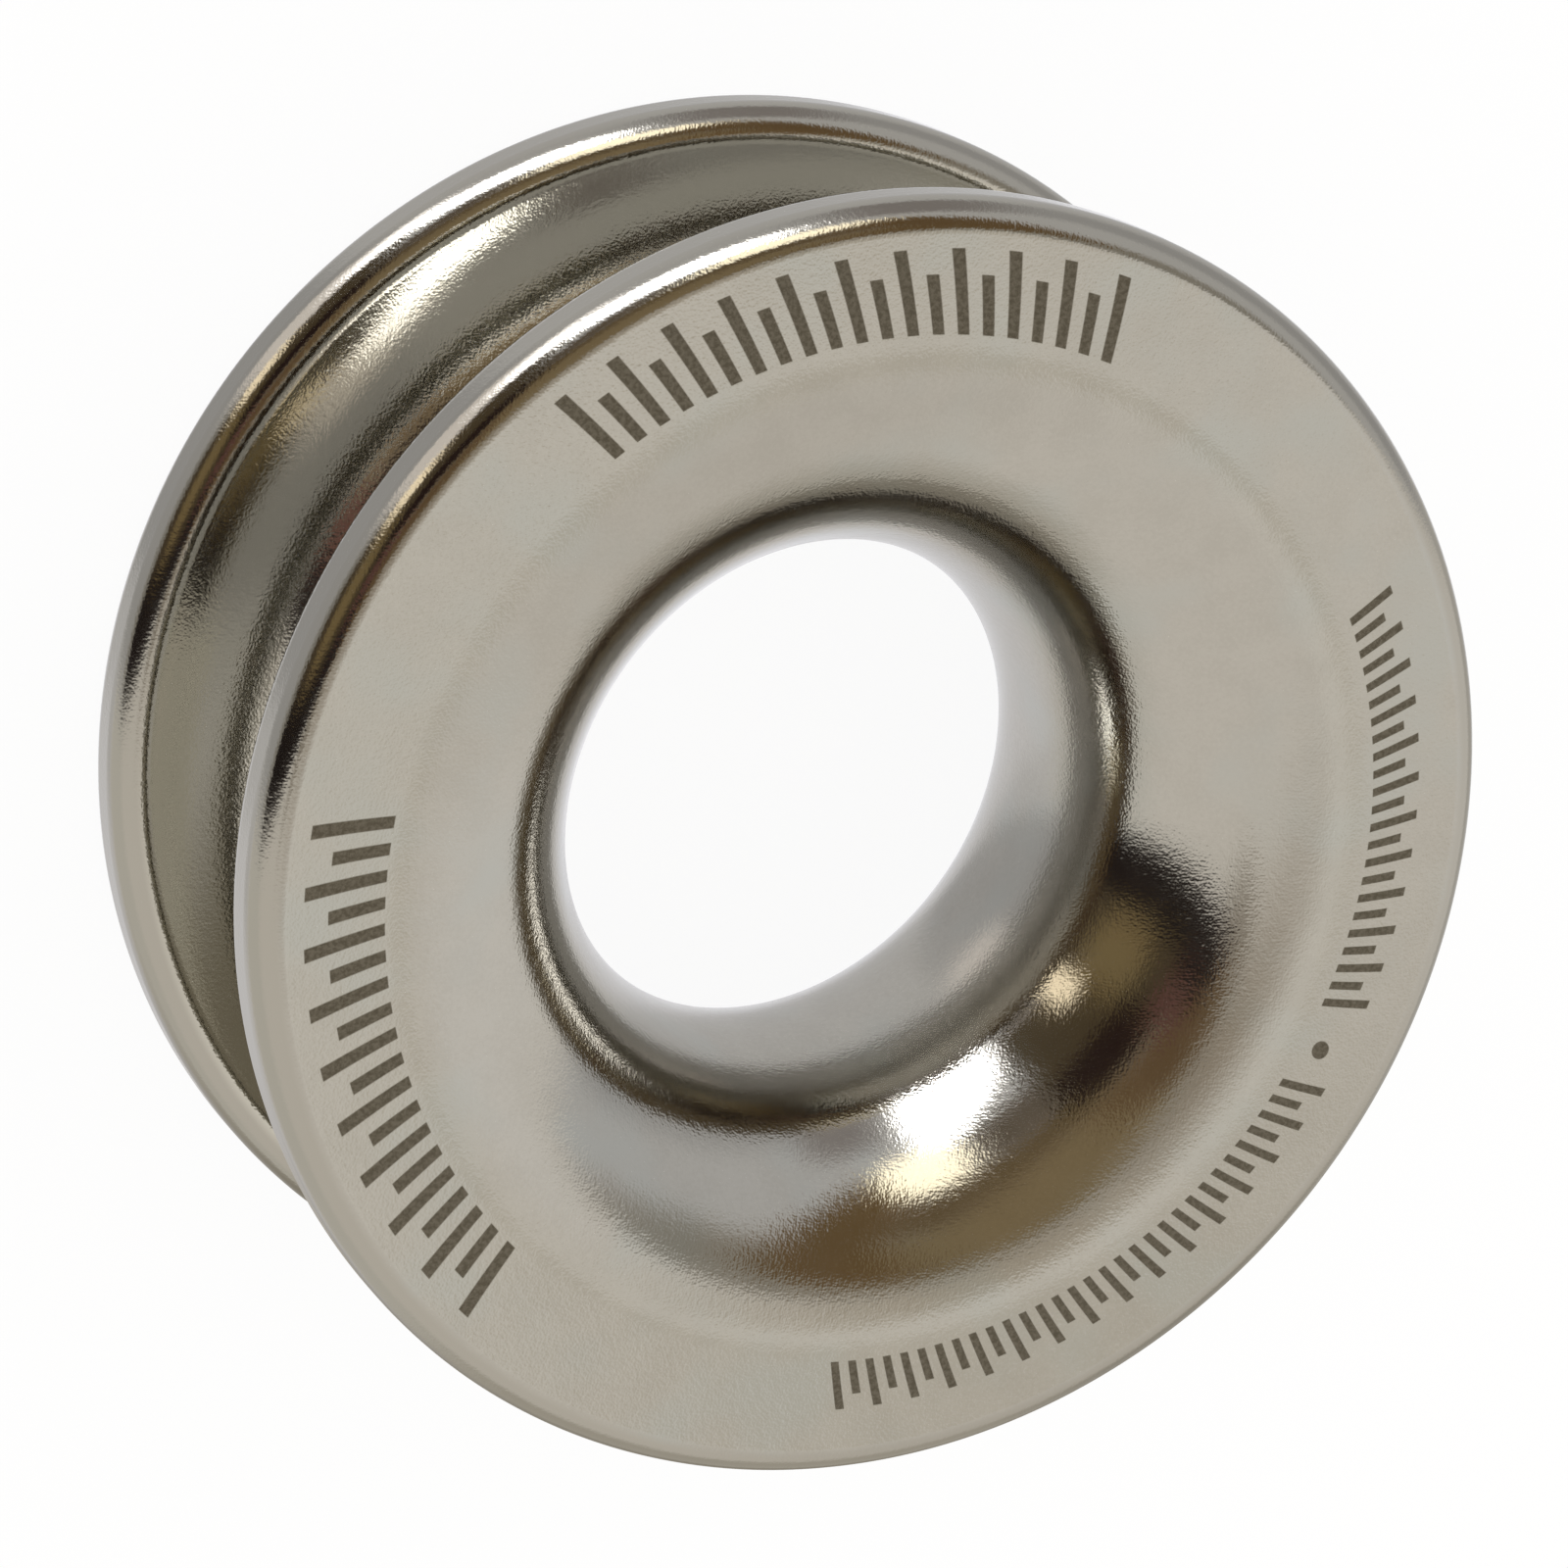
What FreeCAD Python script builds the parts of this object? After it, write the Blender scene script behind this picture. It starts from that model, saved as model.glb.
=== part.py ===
import FreeCAD, Part
import math
import os
import Sketcher

# Low friction ring, turned from one bar of titanium alloy.
# A line runs through the half-round throat, and a strop or lashing seats in the groove
# round the outside. All lengths are in millimetres and +Z is the axis of the ring.
# The origin is the centre of the bore, half-way between the two faces.

doc = FreeCAD.newDocument("LowFrictionRing")


# Driving dimensions
# Each row is an alias, its value and what it measures.

SIZES = [
    ("bore_diameter", 16.0, "smallest opening of the throat"),
    ("groove_radius", 5.5, "half of the largest line that the groove takes"),
    ("wall_thickness", 4.0, "from the bore to the bottom of the groove"),
    ("cheek_thickness", 2.5, "from the widest point of the groove to a face"),
    ("rim_height", 2.5, "how far the rims stand out past the centre of the groove"),
    ("face_edge_radius", 1.0, "round between a face and a rim"),
    ("groove_edge_radius", 1.0, "round between a rim and the groove"),
]

sheet = doc.addObject("Spreadsheet::Sheet", "Dimensions")
sheet.Label = "Dimensions"
for row, (alias, value, meaning) in enumerate(SIZES, start=1):
    sheet.set("A%d" % row, alias)
    sheet.set("B%d" % row, str(value))
    sheet.set("C%d" % row, meaning)
    sheet.setAlias("B%d" % row, alias)
doc.recompute()


def size(alias):
    """The value of one cell, as a plain number."""
    return float(sheet.get(alias))


# Sizes that follow from the driving ones
# The throat is a full half-round from face to face, so its radius is half the width.
# The groove is more than half a circle: its centre lies inside the rims, which close in
# over the line by a little.

THROAT_RADIUS = "Dimensions.groove_radius + Dimensions.cheek_thickness"
THROAT_CENTRE = "Dimensions.bore_diameter / 2 + " + THROAT_RADIUS
GROOVE_CENTRE = (
    "Dimensions.bore_diameter / 2 + Dimensions.wall_thickness + Dimensions.groove_radius"
)
OUTER_RADIUS = GROOVE_CENTRE + " + Dimensions.rim_height"

bore_radius = size("bore_diameter") / 2
groove_radius = size("groove_radius")
face_edge = size("face_edge_radius")
groove_edge = size("groove_edge_radius")
half_width = groove_radius + size("cheek_thickness")
throat_centre = bore_radius + half_width
groove_centre = bore_radius + size("wall_thickness") + groove_radius
outer_radius = groove_centre + size("rim_height")


# Sketch of the section
# It lies in the XZ plane: x is the radius from the axis and y is the height.

START, END, CENTRE = 1, 2, 3
ORIGIN_POINT = (-1, 1)
X_AXIS = -1

body = doc.addObject("PartDesign::Body", "Ring")
body.Label = "ring"


def origin_plane(owner, role):
    """One of the body's own base planes."""
    for feature in owner.Origin.OriginFeatures:
        if feature.Role == role:
            return feature
    raise ValueError("no plane " + role)


def point(radius, height):
    """A point of the section."""
    return FreeCAD.Vector(radius, height, 0)


def arc(radius, height, size_of_arc, first_degrees, last_degrees):
    """A counter-clockwise arc about a point of the section."""
    circle = Part.Circle(point(radius, height), FreeCAD.Vector(0, 0, 1), size_of_arc)
    return Part.ArcOfCircle(circle, math.radians(first_degrees), math.radians(last_degrees))


section = body.newObject("Sketcher::SketchObject", "RingSection")
section.Label = "Ring section"
section.AttachmentSupport = [(origin_plane(body, "XZ_Plane"), "")]
section.MapMode = "FlatFace"

# The round at the edge of the groove touches the rim from inside and the groove from
# outside, and both arcs meet on the line between their centres, at this angle.
face_end = outer_radius - face_edge
corner_height = half_width - face_edge
edge_centre = outer_radius - groove_edge
edge_height = math.sqrt((groove_radius + groove_edge) ** 2 - (edge_centre - groove_centre) ** 2)
meeting = math.degrees(math.atan2(edge_height, groove_centre - edge_centre))

throat = section.addGeometry(arc(throat_centre, 0, half_width, 90, 270))
upper_face = section.addGeometry(
    Part.LineSegment(point(throat_centre, half_width), point(face_end, half_width)))
upper_corner = section.addGeometry(arc(face_end, corner_height, face_edge, 0, 90))
upper_rim = section.addGeometry(
    Part.LineSegment(point(outer_radius, corner_height), point(outer_radius, edge_height)))
upper_edge = section.addGeometry(
    arc(edge_centre, edge_height, groove_edge, -meeting, 0))
groove = section.addGeometry(
    arc(groove_centre, 0, groove_radius, 180 - meeting, 180 + meeting))
lower_edge = section.addGeometry(
    arc(edge_centre, -edge_height, groove_edge, 0, meeting))
lower_rim = section.addGeometry(
    Part.LineSegment(point(outer_radius, -edge_height), point(outer_radius, -corner_height)))
lower_corner = section.addGeometry(arc(face_end, -corner_height, face_edge, -90, 0))
lower_face = section.addGeometry(
    Part.LineSegment(point(face_end, -half_width), point(throat_centre, -half_width)))

# Every stretch runs tangent into the next one, all the way round the section.
JOINTS = [
    (throat, START, upper_face, START),
    (upper_face, END, upper_corner, END),
    (upper_corner, START, upper_rim, START),
    (upper_rim, END, upper_edge, END),
    (upper_edge, START, groove, START),
    (groove, END, lower_edge, END),
    (lower_edge, START, lower_rim, START),
    (lower_rim, END, lower_corner, END),
    (lower_corner, START, lower_face, START),
    (lower_face, END, throat, END),
]
for joint in JOINTS:
    section.addConstraint(Sketcher.Constraint("Tangent", *joint))
for face in (upper_face, lower_face):
    section.addConstraint(Sketcher.Constraint("Horizontal", face))
for rim in (upper_rim, lower_rim):
    section.addConstraint(Sketcher.Constraint("Vertical", rim))
for curve in (throat, groove):
    section.addConstraint(Sketcher.Constraint("PointOnObject", curve, CENTRE, X_AXIS))
section.addConstraint(Sketcher.Constraint("Equal", upper_corner, lower_corner))
section.addConstraint(Sketcher.Constraint("Equal", upper_edge, lower_edge))
section.addConstraint(Sketcher.Constraint("Equal", upper_rim, lower_rim))


def drive(name, constraint, expression):
    """Add a dimension to the section and bind it to the sheet."""
    index = section.addConstraint(constraint)
    section.renameConstraint(index, name)
    section.setExpression("Constraints." + name, expression)


drive("throat_radius", Sketcher.Constraint("Radius", throat, half_width), THROAT_RADIUS)
drive(
    "throat_centre",
    Sketcher.Constraint("DistanceX", *ORIGIN_POINT, throat, CENTRE, throat_centre),
    THROAT_CENTRE,
)
drive("groove_radius", Sketcher.Constraint("Radius", groove, groove_radius),
      "Dimensions.groove_radius")
drive(
    "groove_centre",
    Sketcher.Constraint("DistanceX", *ORIGIN_POINT, groove, CENTRE, groove_centre),
    GROOVE_CENTRE,
)
drive(
    "outer_radius",
    Sketcher.Constraint("DistanceX", *ORIGIN_POINT, upper_rim, START, outer_radius),
    OUTER_RADIUS,
)
drive("face_edge_radius", Sketcher.Constraint("Radius", upper_corner, face_edge),
      "Dimensions.face_edge_radius")
drive("groove_edge_radius", Sketcher.Constraint("Radius", upper_edge, groove_edge),
      "Dimensions.groove_edge_radius")

# The section turned once round the axis
ring = body.newObject("PartDesign::Revolution", "RingTurned")
ring.Label = "Turned ring"
ring.Profile = section
ring.ReferenceAxis = (section, ["V_Axis"])
ring.Angle = 360.0
doc.recompute()


# Check the document, then write the solid

BODIES = [body]

for item in doc.Objects:
    if "Invalid" in item.State or "Error" in item.State:
        raise RuntimeError("%s did not rebuild: %s" % (item.Name, item.State))
if section.FullyConstrained is False:
    raise RuntimeError("the ring section is not fully constrained")
os.makedirs("parts", exist_ok=True)
for item in BODIES:
    shape = item.Shape
    if shape.isNull() or not shape.isValid() or len(shape.Solids) != 1:
        raise RuntimeError("%s has no valid solid" % item.Label)
    shape.exportStep("parts/%s.step" % item.Label)
    box = shape.optimalBoundingBox(True)
    print("%s: %.3f x %.3f x %.3f mm, volume %.1f mm3" % (
        item.Label, box.XLength, box.YLength, box.ZLength, shape.Volume))
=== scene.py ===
import math

import bpy
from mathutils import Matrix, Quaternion, Vector


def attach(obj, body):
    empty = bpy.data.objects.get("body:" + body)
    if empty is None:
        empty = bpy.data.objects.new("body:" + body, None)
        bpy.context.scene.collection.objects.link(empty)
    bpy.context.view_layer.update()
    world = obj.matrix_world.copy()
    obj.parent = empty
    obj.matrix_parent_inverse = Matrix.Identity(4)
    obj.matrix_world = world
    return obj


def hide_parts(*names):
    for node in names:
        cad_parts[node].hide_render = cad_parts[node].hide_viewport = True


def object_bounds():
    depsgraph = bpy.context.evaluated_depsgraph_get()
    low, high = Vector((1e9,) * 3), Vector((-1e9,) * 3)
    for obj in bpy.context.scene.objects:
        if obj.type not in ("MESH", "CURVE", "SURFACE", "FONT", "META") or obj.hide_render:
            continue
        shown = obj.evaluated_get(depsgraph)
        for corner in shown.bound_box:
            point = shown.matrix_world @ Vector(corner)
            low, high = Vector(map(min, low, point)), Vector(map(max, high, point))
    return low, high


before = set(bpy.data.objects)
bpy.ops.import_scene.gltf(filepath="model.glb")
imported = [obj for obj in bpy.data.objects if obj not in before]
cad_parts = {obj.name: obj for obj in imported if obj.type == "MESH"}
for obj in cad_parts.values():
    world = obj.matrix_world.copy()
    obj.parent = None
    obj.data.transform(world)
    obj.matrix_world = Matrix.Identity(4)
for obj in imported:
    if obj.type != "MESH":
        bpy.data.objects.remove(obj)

# Low friction ring, in metres, in the frame of the solids: +Z is the axis of the ring and the
# origin is the centre of its bore. The ring lies on its lower face.

cad_low, cad_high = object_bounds()
MM = 0.001


# Section of the ring
# The outside and the width come from the frame; the rest are the sizes of the turned section.

OUTER_RADIUS = min(cad_high.x, cad_high.y)
HALF_WIDTH = cad_high.z
BORE_RADIUS = 8.0 * MM
GROOVE_RADIUS = 5.5 * MM
GROOVE_BOTTOM = 12.0 * MM
FACE_EDGE = 1.0 * MM
GROOVE_EDGE = 1.0 * MM

THROAT_CENTRE = BORE_RADIUS + HALF_WIDTH
GROOVE_CENTRE = GROOVE_BOTTOM + GROOVE_RADIUS
CORNER_RADIUS = OUTER_RADIUS - FACE_EDGE
CORNER_HEIGHT = HALF_WIDTH - FACE_EDGE
EDGE_RADIUS = OUTER_RADIUS - GROOVE_EDGE
EDGE_HEIGHT = math.sqrt(
    (GROOVE_RADIUS + GROOVE_EDGE) ** 2 - (EDGE_RADIUS - GROOVE_CENTRE) ** 2)

# The groove and the round at its edge meet on the line between their centres, at this angle.
MEETING = math.degrees(math.atan2(EDGE_HEIGHT, GROOVE_CENTRE - EDGE_RADIUS))

# How finely the ring is divided round its axis, and each stretch of its section
STEPS_AROUND = 384
FACE_STEPS = 4
CORNER_STEPS = 12
RIM_STEPS = 2
EDGE_STEPS = 14
GROOVE_STEPS = 56
THROAT_STEPS = 48

# Normals of the faces and the rims in the section: across, away from the axis, and up
UP, DOWN, OUT = (0, 1), (0, -1), (1, 0)


def arc(radius, height, size, first, last, steps, outward=1):
    """Points of an arc of the section, each with its normal; the last point is left out.

    With outward at -1 the arc is a hollow, and its normals point to its centre.
    """
    points = []
    for step in range(steps):
        angle = math.radians(first + (last - first) * step / steps)
        across, up = math.cos(angle), math.sin(angle)
        points.append((
            radius + size * across, height + size * up, outward * across, outward * up))
    return points


def straight(start, end, normal, steps):
    """Points of a straight stretch of the section; the last point is left out."""
    points = []
    for step in range(steps):
        share = step / steps
        points.append((
            start[0] + (end[0] - start[0]) * share,
            start[1] + (end[1] - start[1]) * share,
            normal[0], normal[1]))
    return points


def face(start, end, height, normal):
    """A flat face of the section, between two radii."""
    return straight((start, height), (end, height), normal, FACE_STEPS)


def rim(start, end):
    """A plain rim of the section, between two heights."""
    return straight((OUTER_RADIUS, start), (OUTER_RADIUS, end), OUT, RIM_STEPS)


def ring_section():
    """The closed section, from the lower face up the outside and down the throat."""
    section = face(THROAT_CENTRE, CORNER_RADIUS, -HALF_WIDTH, DOWN)
    section += arc(CORNER_RADIUS, -CORNER_HEIGHT, FACE_EDGE, -90, 0, CORNER_STEPS)
    section += rim(-CORNER_HEIGHT, -EDGE_HEIGHT)
    section += arc(EDGE_RADIUS, -EDGE_HEIGHT, GROOVE_EDGE, 0, MEETING, EDGE_STEPS)
    section += arc(
        GROOVE_CENTRE, 0, GROOVE_RADIUS, 180 + MEETING, 180 - MEETING, GROOVE_STEPS, outward=-1)
    section += arc(EDGE_RADIUS, EDGE_HEIGHT, GROOVE_EDGE, -MEETING, 0, EDGE_STEPS)
    section += rim(EDGE_HEIGHT, CORNER_HEIGHT)
    section += arc(CORNER_RADIUS, CORNER_HEIGHT, FACE_EDGE, 0, 90, CORNER_STEPS)
    section += face(CORNER_RADIUS, THROAT_CENTRE, HALF_WIDTH, UP)
    section += arc(THROAT_CENTRE, 0, HALF_WIDTH, 90, 270, THROAT_STEPS)
    return section


def turned_ring(name, material):
    """The section swept once round the axis, with the exact normals of its curves."""
    section = ring_section()
    count = len(section)
    corners, normals, faces = [], [], []
    for turn in range(STEPS_AROUND):
        angle = 2 * math.pi * turn / STEPS_AROUND
        cosine, sine = math.cos(angle), math.sin(angle)
        for radius, height, across, up in section:
            corners.append((radius * cosine, radius * sine, height))
            normals.append((across * cosine, across * sine, up))
        this, following = turn * count, (turn + 1) % STEPS_AROUND * count
        for step in range(count):
            after = (step + 1) % count
            faces.append((this + step, following + step, following + after, this + after))
    mesh = bpy.data.meshes.new(name)
    mesh.from_pydata(corners, [], faces)
    mesh.validate()
    mesh.polygons.foreach_set("use_smooth", [True] * len(mesh.polygons))
    mesh.normals_split_custom_set_from_vertices(normals)
    mesh.materials.append(material)
    piece = bpy.data.objects.new(name, mesh)
    bpy.context.scene.collection.objects.link(piece)
    return piece


class Nodes:
    """Short calls that add nodes to one node tree and link them."""

    def __init__(self, tree):
        self.tree = tree
        tree.nodes.clear()

    def add(self, kind, inputs=(), **settings):
        """One node; inputs are (socket, value or linked socket) pairs."""
        made = self.tree.nodes.new(kind)
        for key, value in settings.items():
            setattr(made, key, value)
        for socket, value in inputs:
            self.feed(made.inputs[socket], value)
        return made

    def feed(self, socket, value):
        """Link another node's socket, or set a plain value."""
        if isinstance(value, bpy.types.NodeSocket):
            self.tree.links.new(value, socket)
        else:
            socket.default_value = value

    def math(self, operation, first, second=0.0, third=0.0):
        """A number worked out from up to three numbers."""
        inputs = [(0, first), (1, second), (2, third)]
        return self.add("ShaderNodeMath", inputs, operation=operation).outputs[0]

    def vector(self, operation, first, second=(0, 0, 0)):
        """A vector worked out from up to two vectors."""
        inputs = [(0, first), (1, second)]
        return self.add("ShaderNodeVectorMath", inputs, operation=operation).outputs["Vector"]

    def measure(self, operation, first, second=(0, 0, 0)):
        """A number, such as a length or a distance, worked out from vectors."""
        inputs = [(0, first), (1, second)]
        return self.add("ShaderNodeVectorMath", inputs, operation=operation).outputs["Value"]

    def split(self, place):
        """The three parts of a vector."""
        return self.add("ShaderNodeSeparateXYZ", [("Vector", place)]).outputs

    def flat(self, x, y):
        """A vector with no third part."""
        return self.add("ShaderNodeCombineXYZ", [("X", x), ("Y", y)]).outputs[0]

    def turn(self, x, y):
        """The azimuth of a place or a direction, in degrees."""
        return self.math("DEGREES", self.math("ARCTAN2", y, x))

    def wrapped(self, turn, middle):
        """An azimuth in degrees, within half a turn of the middle."""
        return self.math("WRAP", turn, middle + 180.0, middle - 180.0)

    def apart(self, value, middle):
        """How far a number is from the middle, on either side."""
        return self.math("ABSOLUTE", self.math("SUBTRACT", value, middle))

    def smooth(self, value, zero_at, one_at):
        """0 to 1 on a smooth step between two values."""
        inputs = [("Value", value), ("From Min", zero_at), ("From Max", one_at)]
        return self.add(
            "ShaderNodeMapRange", inputs, interpolation_type="SMOOTHSTEP").outputs["Result"]

    def scaled(self, value, from_low, from_high, to_low, to_high):
        """A number moved from one range to another, and kept within it."""
        inputs = [("Value", value), ("From Min", from_low), ("From Max", from_high),
                  ("To Min", to_low), ("To Max", to_high)]
        return self.add("ShaderNodeMapRange", inputs).outputs["Result"]

    def mix(self, share, first, second):
        """A colour between two colours."""
        made = self.add("ShaderNodeMix", data_type="RGBA")
        self.feed(made.inputs["Factor"], share)
        self.feed(made.inputs["A"], first)
        self.feed(made.inputs["B"], second)
        return made.outputs["Result"]

    def mix_value(self, share, first, second):
        """A number between two numbers."""
        made = self.add("ShaderNodeMix", data_type="FLOAT")
        self.feed(made.inputs[0], share)
        self.feed(made.inputs[2], first)
        self.feed(made.inputs[3], second)
        return made.outputs[0]

    def mix_shader(self, share, first, second):
        """A shader between two shaders."""
        inputs = [(0, share), (1, first), (2, second)]
        return self.add("ShaderNodeMixShader", inputs).outputs[0]

    def noise(self, where, scale, detail, roughness=0.5):
        """Cloudy noise about a half, with the scale in clouds for each metre."""
        inputs = [("Vector", where), ("Scale", scale), ("Detail", detail),
                  ("Roughness", roughness)]
        return self.add("ShaderNodeTexNoise", inputs).outputs["Fac"]

    def background(self, light):
        """Light of the world, where 1 is white."""
        return self.add("ShaderNodeBackground", [("Color", light), ("Strength", 1.0)]).outputs[0]

    def emission(self, light):
        """A surface that shows one light, where 1 is white."""
        return self.add("ShaderNodeEmission", [("Color", light), ("Strength", 1.0)]).outputs[0]


def new_material(name):
    """An empty material and its nodes."""
    material = bpy.data.materials.new(name)
    material.use_nodes = True
    return material, Nodes(material.node_tree)


def colour(red, green, blue):
    """A colour as the sockets take it."""
    return (red, green, blue, 1.0)


# Laser marks
# They lie on the upper face: one dot, and rows of plain leaning bars. A row is its first and
# last angle in degrees, number of bars, inner and outer radius, and lean in degrees from foot
# to top.

BAR_ROWS = [
    (252, 312, 21, 16.05 * MM, 18.6 * MM, -1.6),
    (-6, 49, 19, 16.05 * MM, 18.5 * MM, -1.6),
    (90, 154, 31, 16.1 * MM, 17.7 * MM, -1.2),
    (162, 209, 23, 16.1 * MM, 17.7 * MM, -1.2),
]
DOT_ANGLE = math.radians(158.0)
DOT_FROM_AXIS = 16.8 * MM
DOT_RADIUS = 0.3 * MM

# The soft edge of the marks, and how far below the face they still show
MARK_BLUR = 0.02 * MM
MARK_SKIN = 0.02 * MM

# Half the width of a bar and the soft edges of bars and rows, in shares of the bars' pitch
BAR_HALF = 0.23
BAR_BLUR = 0.03
ROW_END_BLUR = 0.02

# How much shorter every second bar is, as a share of its height
SHORTER = 0.3


def bar_row(nodes, radius, turn, first, last, count, inner, outer, lean):
    """Mask of a row of plain leaning bars, every second one shorter, along an arc of the face."""
    height = outer - inner
    pitch = (last - first) / count
    angle = nodes.wrapped(turn, (first + last) / 2)
    rise = nodes.math("DIVIDE", nodes.math("SUBTRACT", radius, inner), height)
    leaning = nodes.math("MULTIPLY_ADD", rise, lean, angle)
    place = nodes.math("DIVIDE", nodes.math("SUBTRACT", leaning, first), pitch)
    from_bar = nodes.apart(nodes.math("FRACT", place), 0.5)
    bar = nodes.smooth(from_bar, BAR_HALF + BAR_BLUR, BAR_HALF - BAR_BLUR)
    odd = nodes.math("FLOORED_MODULO", nodes.math("FLOOR", place), 2.0)
    top = nodes.math("MULTIPLY_ADD", odd, -SHORTER * height, outer)
    below_top = nodes.smooth(nodes.math("SUBTRACT", top, radius), -MARK_BLUR, MARK_BLUR)
    above_foot = nodes.smooth(radius, inner - MARK_BLUR, inner + MARK_BLUR)
    half_row = count / 2
    within = nodes.smooth(
        nodes.apart(place, half_row), half_row + ROW_END_BLUR, half_row - ROW_END_BLUR)
    upright = nodes.math("MULTIPLY", below_top, above_foot)
    return nodes.math("MULTIPLY", nodes.math("MULTIPLY", bar, within), upright)


def round_dot(nodes, place):
    """Mask of the round dot on the face."""
    centre = (
        DOT_FROM_AXIS * math.cos(DOT_ANGLE), DOT_FROM_AXIS * math.sin(DOT_ANGLE), HALF_WIDTH)
    away = nodes.measure("DISTANCE", place, centre)
    return nodes.smooth(away, DOT_RADIUS + MARK_BLUR, DOT_RADIUS - MARK_BLUR)


def laser_marks(nodes, place, radius, turn, height):
    """Mask of all the marks, which are on the upper face alone."""
    marks = round_dot(nodes, place)
    for row in BAR_ROWS:
        marks = nodes.math("MAXIMUM", marks, bar_row(nodes, radius, turn, *row))
    on_face = nodes.smooth(height, HALF_WIDTH - MARK_SKIN, HALF_WIDTH - MARK_SKIN / 2)
    return nodes.math("MULTIPLY", marks, on_face)


# Titanium
# Tumbled titanium: it mirrors the studio softly, through fine dents and short scratches.

TITANIUM = colour(0.41, 0.393, 0.352)
TITANIUM_SHADE = colour(0.385, 0.368, 0.328)
TITANIUM_GREY = colour(0.392, 0.39, 0.357)
GROOVE_TITANIUM = colour(0.472, 0.455, 0.402)
RIM_TITANIUM = colour(0.36, 0.342, 0.30)
GRAZING_TINT = colour(0.85, 0.85, 0.85)
MARK = colour(0.15, 0.135, 0.105)
MARK_SHADE = colour(0.10, 0.088, 0.065)

# A scale of the noise is how many blotches, grains, clouds, dents or scratches fill a metre.
BLOTCH_SCALE = 700.0
GRAIN_SCALE = 7000.0
GRAIN_ROUGHNESS = 0.7
TONE_LOW, TONE_HIGH = 0.35, 0.65
CLOUD_SCALE = 260.0
CLOUD_LOW, CLOUD_HIGH = 0.45, 0.75

# Where a tint starts and where it is full: from the centre of the groove, and from the axis
GROOVE_TINT_NONE = GROOVE_RADIUS + 0.4 * MM
GROOVE_TINT_FULL = GROOVE_RADIUS + 0.1 * MM
RIM_TINT_NONE = 19.0 * MM
RIM_TINT_FULL = 19.35 * MM

# The roughness follows the blotches, and is higher in the neck, at the narrowest of the throat.
POLISH_LOW, POLISH_HIGH = 0.3, 0.7
POLISH_SMOOTH, POLISH_ROUGH = 0.10, 0.13
NECK_RADIUS = 8.9 * MM
NECK_SOFT = 0.3 * MM
NECK_ROUGHNESS = 0.10
MARK_ROUGHNESS = 0.45

DENT_SCALE = 4200.0
DENT_DEPTH = 0.0045 * MM
SCRATCH_SCALE = 15000.0
SCRATCH_STRETCH = (3.5, 1.0, 1.0)
SCRATCH_TURNS = [(0, 25, 10), (0, -25, 75), (0, 50, 135)]
SCRATCH_DEPTH = 0.002 * MM


def titanium_colour(nodes, radius, height, clouds, blotches, grain):
    """Faint mottling and fine grain, a little brighter in the groove and darker on the rims."""
    half_grain = nodes.math("MULTIPLY", grain, 0.5)
    tone = nodes.math("ADD", nodes.math("MULTIPLY", blotches, 0.5), half_grain)
    metal = nodes.mix(nodes.smooth(tone, TONE_LOW, TONE_HIGH), TITANIUM_SHADE, TITANIUM)
    metal = nodes.mix(nodes.smooth(clouds, CLOUD_LOW, CLOUD_HIGH), metal, TITANIUM_GREY)
    from_groove = nodes.measure("DISTANCE", nodes.flat(radius, height), (GROOVE_CENTRE, 0, 0))
    in_groove = nodes.smooth(from_groove, GROOVE_TINT_NONE, GROOVE_TINT_FULL)
    metal = nodes.mix(in_groove, metal, GROOVE_TITANIUM)
    return nodes.mix(nodes.smooth(radius, RIM_TINT_NONE, RIM_TINT_FULL), metal, RIM_TITANIUM)


def titanium_relief(nodes, place):
    """Bump of fine dents, and of short scratches in three directions."""
    dents = nodes.noise(place, DENT_SCALE, detail=2.0, roughness=GRAIN_ROUGHNESS)
    depth = nodes.math("MULTIPLY", dents, DENT_DEPTH)
    for turned in SCRATCH_TURNS:
        spun = nodes.add("ShaderNodeMapping", [
            ("Vector", place), ("Rotation", [math.radians(part) for part in turned]),
            ("Scale", SCRATCH_STRETCH)], vector_type="TEXTURE").outputs[0]
        streaks = nodes.noise(spun, SCRATCH_SCALE, detail=0.0)
        depth = nodes.math("MULTIPLY_ADD", streaks, SCRATCH_DEPTH, depth)
    return nodes.add("ShaderNodeBump", [
        ("Strength", 1.0), ("Distance", 1.0), ("Height", depth)]).outputs[0]


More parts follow.
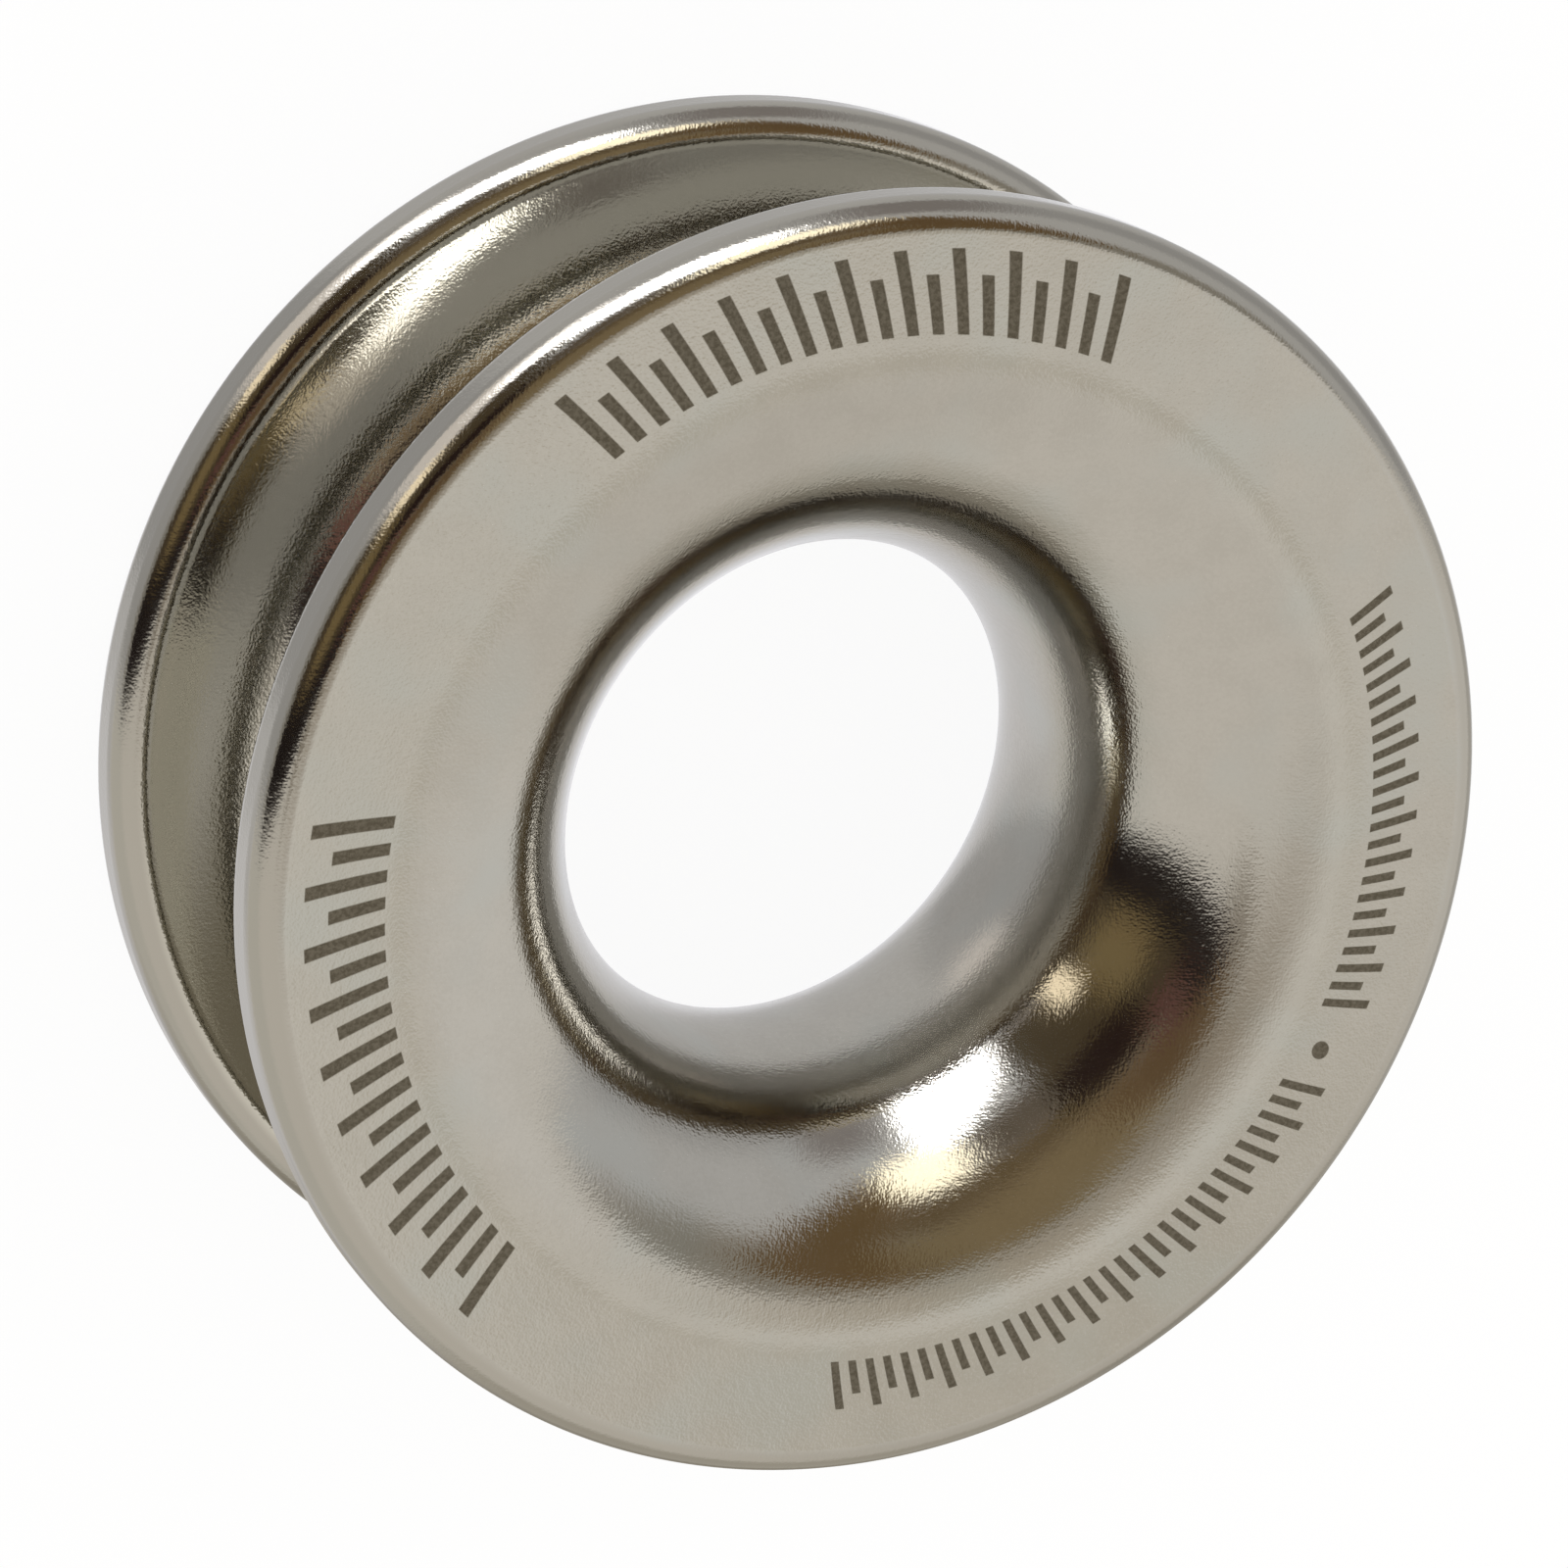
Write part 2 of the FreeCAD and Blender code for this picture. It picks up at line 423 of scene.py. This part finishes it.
def titanium():
    """The metal of the ring, with its laser marks."""
    material, nodes = new_material("Titanium")
    place = nodes.add("ShaderNodeTexCoord").outputs["Object"]
    x, y, z = nodes.split(place)
    radius = nodes.measure("LENGTH", nodes.flat(x, y))
    marks = laser_marks(nodes, place, radius, nodes.turn(x, y), z)

    clouds = nodes.noise(place, CLOUD_SCALE, detail=2.0)
    blotches = nodes.noise(place, BLOTCH_SCALE, detail=3.0)
    grain = nodes.noise(place, GRAIN_SCALE, detail=2.0, roughness=GRAIN_ROUGHNESS)
    metal = titanium_colour(nodes, radius, z, clouds, blotches, grain)
    mark = nodes.mix(nodes.smooth(grain, TONE_LOW, TONE_HIGH), MARK_SHADE, MARK)

    polish = nodes.scaled(blotches, POLISH_LOW, POLISH_HIGH, POLISH_SMOOTH, POLISH_ROUGH)
    in_neck = nodes.smooth(radius, NECK_RADIUS + NECK_SOFT, NECK_RADIUS - NECK_SOFT)
    polish = nodes.math("MULTIPLY_ADD", in_neck, NECK_ROUGHNESS, polish)

    shader = nodes.add("ShaderNodeBsdfPrincipled", [
        ("Base Color", nodes.mix(marks, metal, mark)),
        ("Metallic", 1.0),
        ("Roughness", nodes.mix_value(marks, polish, MARK_ROUGHNESS)),
        ("Specular Tint", GRAZING_TINT),
        ("Normal", titanium_relief(nodes, place))])
    nodes.add("ShaderNodeOutputMaterial", [("Surface", shader.outputs[0])])
    return material


# Studio
# The world is a light tent with an open side, through which the room shows. Its patches are set
# after the reflections in the photograph. Each is a lamp, a wall, a curtain or a dark piece of
# the room: azimuth, elevation, half width, half height, corner, slope, soft edge and light.
# Angles are in degrees, and the slope is the climb for each degree across. A later patch covers
# the ones before it. Azimuths are counted within half a turn of the middle of the tent or the
# room.

TENT_MIDDLE = 100.0
TENT = colour(1.10, 1.06, 1.01)
TENT_PATCHES = [
    ("tent_shade", 134, 24, 14, 26, 12, 0, 10, colour(1.01, 0.97, 0.92)),
    ("tent_left", 169, 24, 13, 30, 8, 0, 7, colour(1.16, 1.14, 1.12)),
    ("tent_left_foot", 167, -20, 22, 18, 8, 0, 8, colour(0.82, 0.80, 0.77)),
    ("tent_glow", 146, 67, 24, 9, 7, 0, 7, colour(1.18, 1.15, 1.10)),
    ("tent_dim", 141.5, 55.5, 5, 6, 6, 0, 6, colour(0.92, 0.87, 0.78)),
    ("tent_foot", 60, -10, 47, 24, 8, 0, 8, colour(1.00, 0.98, 0.93)),
    ("tent_foot_shade", 115, -12, 32, 24, 8, 0, 8, colour(0.80, 0.76, 0.69)),
    ("tent_foot_dark", 138, -9, 8, 16, 8, 0, 7, colour(0.64, 0.61, 0.56)),
    ("tent_floor", 100, -66, 100, 30, 8, 0, 8, colour(1.15, 1.15, 1.20)),
    ("tent_floor_end", 22, -66, 14, 30, 8, 0, 8, colour(0.96, 0.96, 0.99)),
    ("tent_corner", 173, 71, 17, 8, 7, 0, 7, colour(0.77, 0.70, 0.60)),
    ("ceiling", 100, 101, 400, 21.5, 16, 0, 16, colour(0.42, 0.34, 0.25)),
    ("haze_right", 20, 74, 16, 12, 8, 0, 8, colour(0.50, 0.45, 0.39)),
]
ROOM_MIDDLE = 280.0
ROOM_HALF_WIDTH = 94.5
ROOM_SOFT = 4.5
ROOM = colour(0.84, 0.84, 0.86)
ROOM_PATCHES = [
    ("far_floor", 272, -60, 84, 30, 8, 0, 8, colour(0.88, 0.88, 0.90)),
    ("dim_floor", 337, -58, 36, 44, 8, 0, 8, colour(0.67, 0.67, 0.69)),
    ("wall_foot", 226, -4, 40, 16, 8, 0, 8, colour(0.64, 0.64, 0.66)),
    ("wall_corner", 251, 0, 10, 22, 6, 0, 6, colour(0.44, 0.41, 0.41)),
    ("upper_haze", 282, 72, 97, 19, 14, 0, 14, colour(0.46, 0.40, 0.31)),
    ("olive_shade", 262, 72, 56, 13, 8, 0, 7, colour(0.38, 0.29, 0.165)),
    ("dim_shade", 272, 57, 34, 6, 5, 0, 5, colour(0.23, 0.165, 0.09)),
    ("edge_haze", 199, 51, 13, 11, 8, 0, 8, colour(0.46, 0.43, 0.38)),
    ("brown_shade", 228, 52, 28, 9, 6, -0.45, 4, colour(0.235, 0.15, 0.07)),
    ("upper_brown", 337, 73, 36, 11, 8, 0, 7, colour(0.23, 0.15, 0.08)),
    ("grey_shade", 289, 44, 13, 9, 6, 0, 5, colour(0.21, 0.17, 0.13)),
    ("dusk", 342, -2, 31, 12, 6, 0, 7, colour(0.42, 0.40, 0.37)),
    ("dark_side", 336, 30, 36, 31, 5, 0, 4, colour(0.12, 0.09, 0.055)),
    ("dark_shade", 319, 51, 16, 9, 6, 0, 4, colour(0.035, 0.02, 0.018)),
    ("olive_glow", 343, 28, 11, 14, 11, 0, 7, colour(0.34, 0.25, 0.12)),
    ("red_glow", 342, 62, 7, 9, 7, 0, 4, colour(0.21, 0.10, 0.085)),
    ("black_top", 364, 62, 14, 9, 6, 0, 4, colour(0.045, 0.025, 0.025)),
    ("black_shade", 367, 35, 10, 37, 5, 0, 3, colour(0.028, 0.021, 0.02)),
    ("low_glow", 317, -14, 13, 22, 8, 0, 6, colour(1.35, 1.28, 1.25)),
    ("low_sheen", 302, -12, 9, 12, 6, 0, 5, colour(2.7, 2.65, 2.7)),
    ("low_panel", 301, -3, 7, 11, 5, 0, 3, colour(6.4, 6.4, 6.7)),
    ("small_lamp", 326.5, 12, 4.5, 11, 4, 0, 4, colour(2.3, 2.0, 1.5)),
    ("key_light", 282.8, 15, 15.2, 16, 9, -0.5, 3, colour(9.0, 9.1, 9.5)),
    ("warm_light", 263, 40.5, 11, 9.5, 8, 0, 3.5, colour(3.2, 2.95, 2.35)),
]
WHITE = colour(1.0, 1.0, 1.0)


def patched(nodes, azimuth, elevation, light, patches):
    """Light of one plain colour with the patches laid over it, one after another."""
    compass = nodes.flat(azimuth, elevation)
    for name, across, up, half_width, half_height, corner, slope, soft, shade in patches:
        local = nodes.add(
            "ShaderNodeVectorMath", [(0, compass), (1, (across, up, 0))],
            operation="SUBTRACT", label=name).outputs["Vector"]
        if slope:
            along = nodes.measure("DOT_PRODUCT", local, (1, 0, 0))
            upward = nodes.measure("DOT_PRODUCT", local, (-slope, 1, 0))
            local = nodes.flat(along, upward)
        # A corner is at least as wide as the soft edge that runs round it.
        corner = max(corner, soft)
        reach = nodes.vector(
            "SUBTRACT", nodes.vector("ABSOLUTE", local),
            (half_width - corner, half_height - corner, 0))
        distance = nodes.measure("LENGTH", nodes.vector("MAXIMUM", reach))
        light = nodes.mix(nodes.smooth(distance, corner + soft, corner - soft), light, shade)
    return nodes.background(light)


def studio_world():
    """Metal mirrors the studio, other things are lit evenly, and the camera sees white."""
    world = bpy.data.worlds.new("Studio")
    world.use_nodes = True
    nodes = Nodes(world.node_tree)
    x, y, z = nodes.split(nodes.add("ShaderNodeTexCoord").outputs["Generated"])
    turn = nodes.turn(x, y)
    elevation = nodes.math("DEGREES", nodes.math("ARCSINE", z))
    tent_side = nodes.wrapped(turn, TENT_MIDDLE)
    tent = patched(nodes, tent_side, elevation, TENT, TENT_PATCHES)
    room_side = nodes.wrapped(turn, ROOM_MIDDLE)
    room = patched(nodes, room_side, elevation, ROOM, ROOM_PATCHES)
    in_room = nodes.smooth(
        nodes.apart(room_side, ROOM_MIDDLE),
        ROOM_HALF_WIDTH + ROOM_SOFT, ROOM_HALF_WIDTH - ROOM_SOFT)
    studio = nodes.mix_shader(in_room, tent, room)
    path = nodes.add("ShaderNodeLightPath").outputs
    lit = nodes.mix_shader(path["Is Glossy Ray"], nodes.background(TENT), studio)
    shown = nodes.mix_shader(path["Is Camera Ray"], lit, nodes.background(WHITE))
    nodes.add("ShaderNodeOutputWorld", [("Surface", shown)])
    # Mirrored rays find the lamps by themselves, so the world isn't sampled as a lamp.
    world.cycles.sampling_method = "NONE"
    bpy.context.scene.world = world


# Floor
# A pale paper floor. The camera sees it as white, with a share of the light that falls on it,
# and that share carries the shadow.

PAPER = colour(0.93, 0.93, 0.93)
LIT_SHARE = 0.07
FLOOR_RADIUS = 3.0
DISC_SIDES = 96

# A stand-in for the shadow that the lamps of the studio would throw on the floor, on the side
# away from them. It is a soft round patch, set after the rims in the photograph, and only
# mirrored rays see it. It lies clear of the floor by the lift.
CAST_SHADE = colour(0.48, 0.44, 0.37)
CAST_AZIMUTH = math.radians(118.0)
CAST_DISTANCE = 23.0 * MM
CAST_RADIUS = 28.0 * MM
CAST_FADE = 9.0 * MM
CAST_LIFT = 0.01 * MM


def disc(name, radius, height, material):
    """A flat round piece about the axis."""
    bpy.ops.mesh.primitive_circle_add(
        vertices=DISC_SIDES, radius=radius, fill_type="NGON", location=(0, 0, height))
    piece = bpy.context.object
    piece.name = name
    piece.data.materials.append(material)
    return piece


def seen_rays(nodes):
    """1 for rays that show the background: to the camera, in metal and through glass."""
    path = nodes.add("ShaderNodeLightPath").outputs
    seen = nodes.math("MAXIMUM", path["Is Camera Ray"], path["Is Glossy Ray"])
    return nodes.math("MAXIMUM", seen, path["Is Transmission Ray"])


def pale_floor():
    """The paper floor. The metal mirrors the floor of the studio in its place."""
    material, nodes = new_material("Pale floor")
    paper = nodes.add("ShaderNodeBsdfDiffuse", [("Color", PAPER)]).outputs[0]
    white_share = nodes.math("MULTIPLY", seen_rays(nodes), 1.0 - LIT_SHARE)
    shown = nodes.mix_shader(white_share, paper, nodes.emission(WHITE))
    nodes.add("ShaderNodeOutputMaterial", [("Surface", shown)])
    floor = disc("pale_floor", FLOOR_RADIUS, -HALF_WIDTH, material)
    floor.visible_glossy = False


def cast_shadow():
    """A soft round patch that stands in for the lamps' shadow, for mirrored rays alone."""
    material, nodes = new_material("Cast shadow")
    place = nodes.add("ShaderNodeTexCoord").outputs["Object"]
    outside = nodes.math("GREATER_THAN", nodes.measure("LENGTH", place), CORNER_RADIUS)
    centre = (CAST_DISTANCE * math.cos(CAST_AZIMUTH), CAST_DISTANCE * math.sin(CAST_AZIMUTH), 0)
    away = nodes.measure("DISTANCE", place, centre)
    near = nodes.smooth(away, CAST_RADIUS + CAST_FADE, CAST_RADIUS - CAST_FADE)
    clear = nodes.add("ShaderNodeBsdfTransparent").outputs[0]
    share = nodes.math("MULTIPLY", outside, near)
    shown = nodes.mix_shader(share, clear, nodes.emission(CAST_SHADE))
    nodes.add("ShaderNodeOutputMaterial", [("Surface", shown)])
    reach = CAST_DISTANCE + CAST_RADIUS + CAST_FADE
    shadow = disc("cast_shadow", reach, CAST_LIFT - HALF_WIDTH, material)
    shadow.visible_camera = False
    shadow.visible_diffuse = False
    shadow.visible_transmission = False
    shadow.visible_shadow = False


# Camera
# It looks down on the ring from the photograph's side, rolled as the photograph is. The lens
# and the sensor are in millimetres.

CAMERA_AZIMUTH = math.radians(-33.66)
CAMERA_ELEVATION = math.radians(60.06)
CAMERA_DISTANCE = 177.2 * MM
CAMERA_ROLL = math.radians(127.68)
CAMERA_AIM = Vector((0.15 * MM, 0.153 * MM, 0.0))
LENS = 131.63
SENSOR = 36.0
NEAREST = 0.01
FARTHEST = 10.0


def photo_camera():
    """The camera, which becomes the scene's own."""
    data = bpy.data.cameras.new("Camera")
    data.sensor_width = SENSOR
    data.lens = LENS
    data.clip_start = NEAREST
    data.clip_end = FARTHEST
    camera = bpy.data.objects.new("Camera", data)
    bpy.context.scene.collection.objects.link(camera)
    level = math.cos(CAMERA_ELEVATION)
    camera.location = CAMERA_DISTANCE * Vector((
        level * math.cos(CAMERA_AZIMUTH), level * math.sin(CAMERA_AZIMUTH),
        math.sin(CAMERA_ELEVATION)))
    upright = (CAMERA_AIM - camera.location).to_track_quat("-Z", "Y")
    camera.rotation_mode = "QUATERNION"
    camera.rotation_quaternion = upright @ Quaternion((0, 0, 1), CAMERA_ROLL)
    bpy.context.scene.camera = camera


ring = turned_ring("turned_ring", titanium())
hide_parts("ring")
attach(ring, "root")
studio_world()
pale_floor()
cast_shadow()
photo_camera()
bpy.context.scene.view_settings.view_transform = "Standard"
